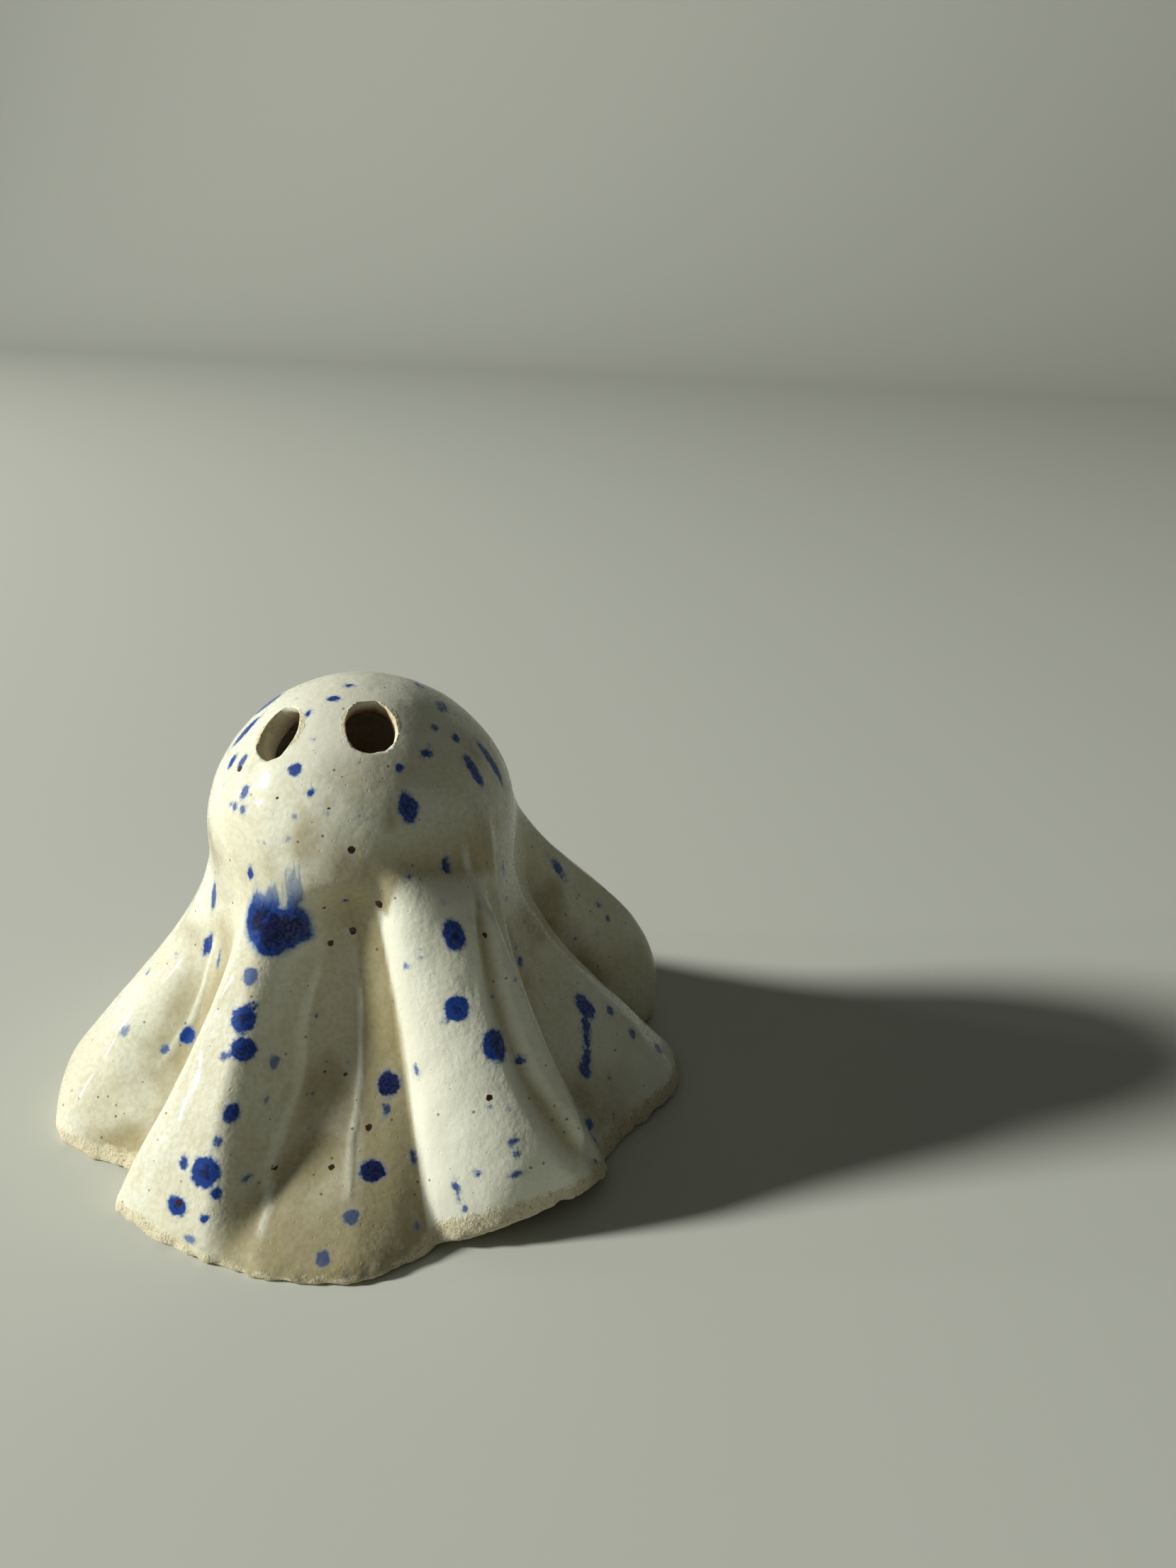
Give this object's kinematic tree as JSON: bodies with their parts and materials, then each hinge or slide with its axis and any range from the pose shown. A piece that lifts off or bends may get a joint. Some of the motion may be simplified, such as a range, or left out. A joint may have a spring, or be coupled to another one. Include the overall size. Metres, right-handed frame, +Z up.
{
  "type": "ghost candle lantern",
  "caption": "Small draped sheet ghost in glazed stoneware with two punched eyes, standing over a tealight and lifting straight off it.",
  "frame": {"origin": "centre of the tealight cup's underside, on the table", "axes": "+Z up, the ghost's face towards -Y, +X to the ghost's left as it looks out"},
  "size_m": [0.0982, 0.0985, 0.0695],
  "materials": {
    "glazed_stoneware": "gloss cream glaze with cobalt splatter, bare sandy clay at the hem and the eyes",
    "cup_aluminium": "thin pressed foil, bright",
    "wax": "smooth white wax",
    "wick_cotton": "waxed cotton, charred at the tip",
    "sustainer_steel": "tinned plate"
  },
  "bodies": {
    "tealight": {"tealight_cup": "cup_aluminium", "tealight_wax": "wax", "wick_sustainer": "sustainer_steel", "tealight_wick": "wick_cotton"},
    "shell": {"ghost_shell": "glazed_stoneware"}
  },
  "joints": [
    {"name": "shell_lift", "type": "slide", "parent": "tealight", "child": "shell", "axis": [0, 0, 1], "range_m": [0, 0.06]}
  ]
}
